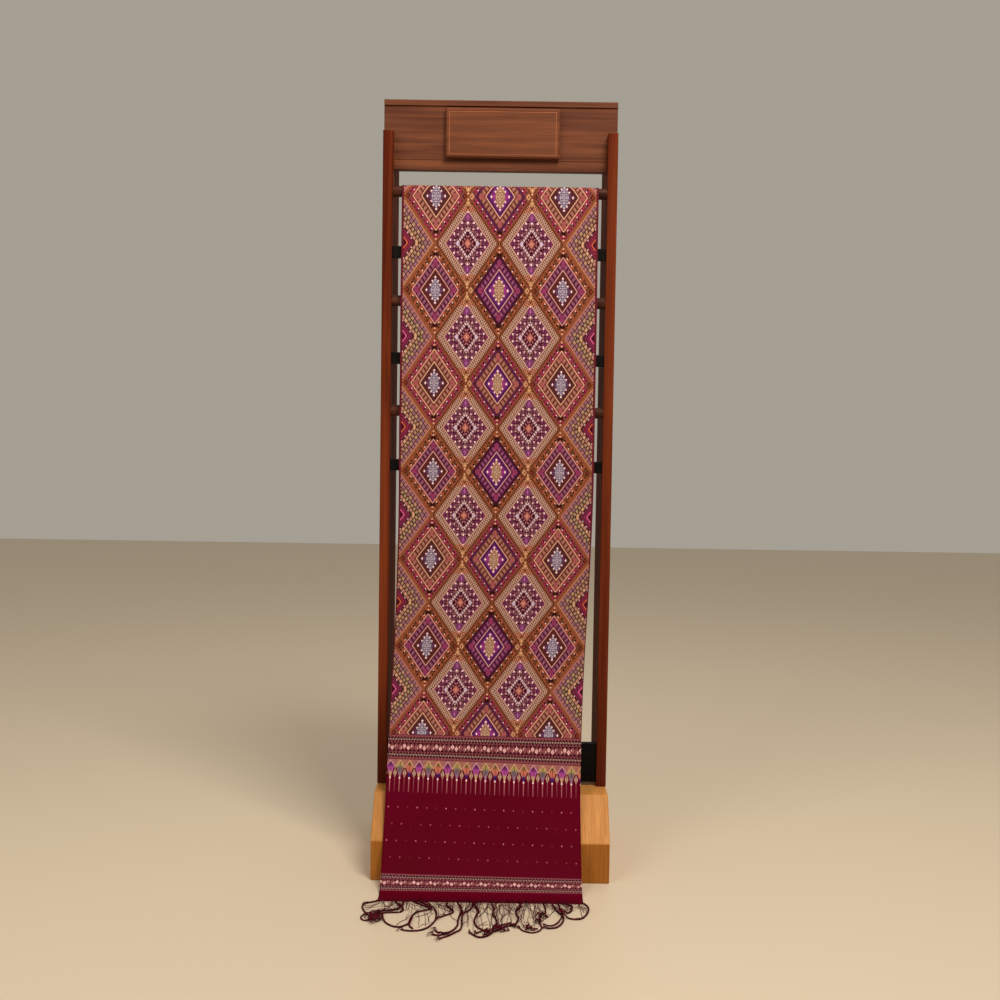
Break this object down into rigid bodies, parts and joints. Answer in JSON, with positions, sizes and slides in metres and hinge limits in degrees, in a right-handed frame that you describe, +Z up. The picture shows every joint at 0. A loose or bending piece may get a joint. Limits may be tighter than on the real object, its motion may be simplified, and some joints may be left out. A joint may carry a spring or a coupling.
{
  "type": "silk shawl on a display stand",
  "caption": "Long brocade silk shawl with woven borders and a twisted fringe, hung over the top rung of a plain wooden ladder stand and drawn forward on to the floor.",
  "frame": {"origin": "middle of the base of the outer box, on the floor", "axes": "+Z up, +Y to the back of the stand, +X to the right seen from the front"},
  "size_m": [0.606, 0.863, 1.995],
  "materials": {
    "light_wood": "clear satin lacquer over pale orange wood",
    "reddish_wood": "dark reddish stain, satin",
    "rung_wood": "dark brown stain, satin",
    "black_wood": "black paint, satin",
    "brocade_silk": "fine silk ground with supplementary weft brocade, soft sheen",
    "fringe_silk": "twisted silk warp ends"
  },
  "bodies": {
    "root": {"foot_left": "light_wood", "foot_right": "light_wood", "post_left": "reddish_wood", "post_right": "reddish_wood", "header_board": "reddish_wood", "header_cap": "reddish_wood", "header_rail": "reddish_wood", "plate": "reddish_wood", "rung_1": "rung_wood", "rung_2": "rung_wood", "rung_3": "rung_wood", "bar_1": "black_wood", "bar_2": "black_wood", "bar_3": "black_wood", "stretcher": "black_wood", "shawl": "brocade_silk", "fringe_front": "fringe_silk", "fringe_back": "fringe_silk"}
  },
  "joints": []
}
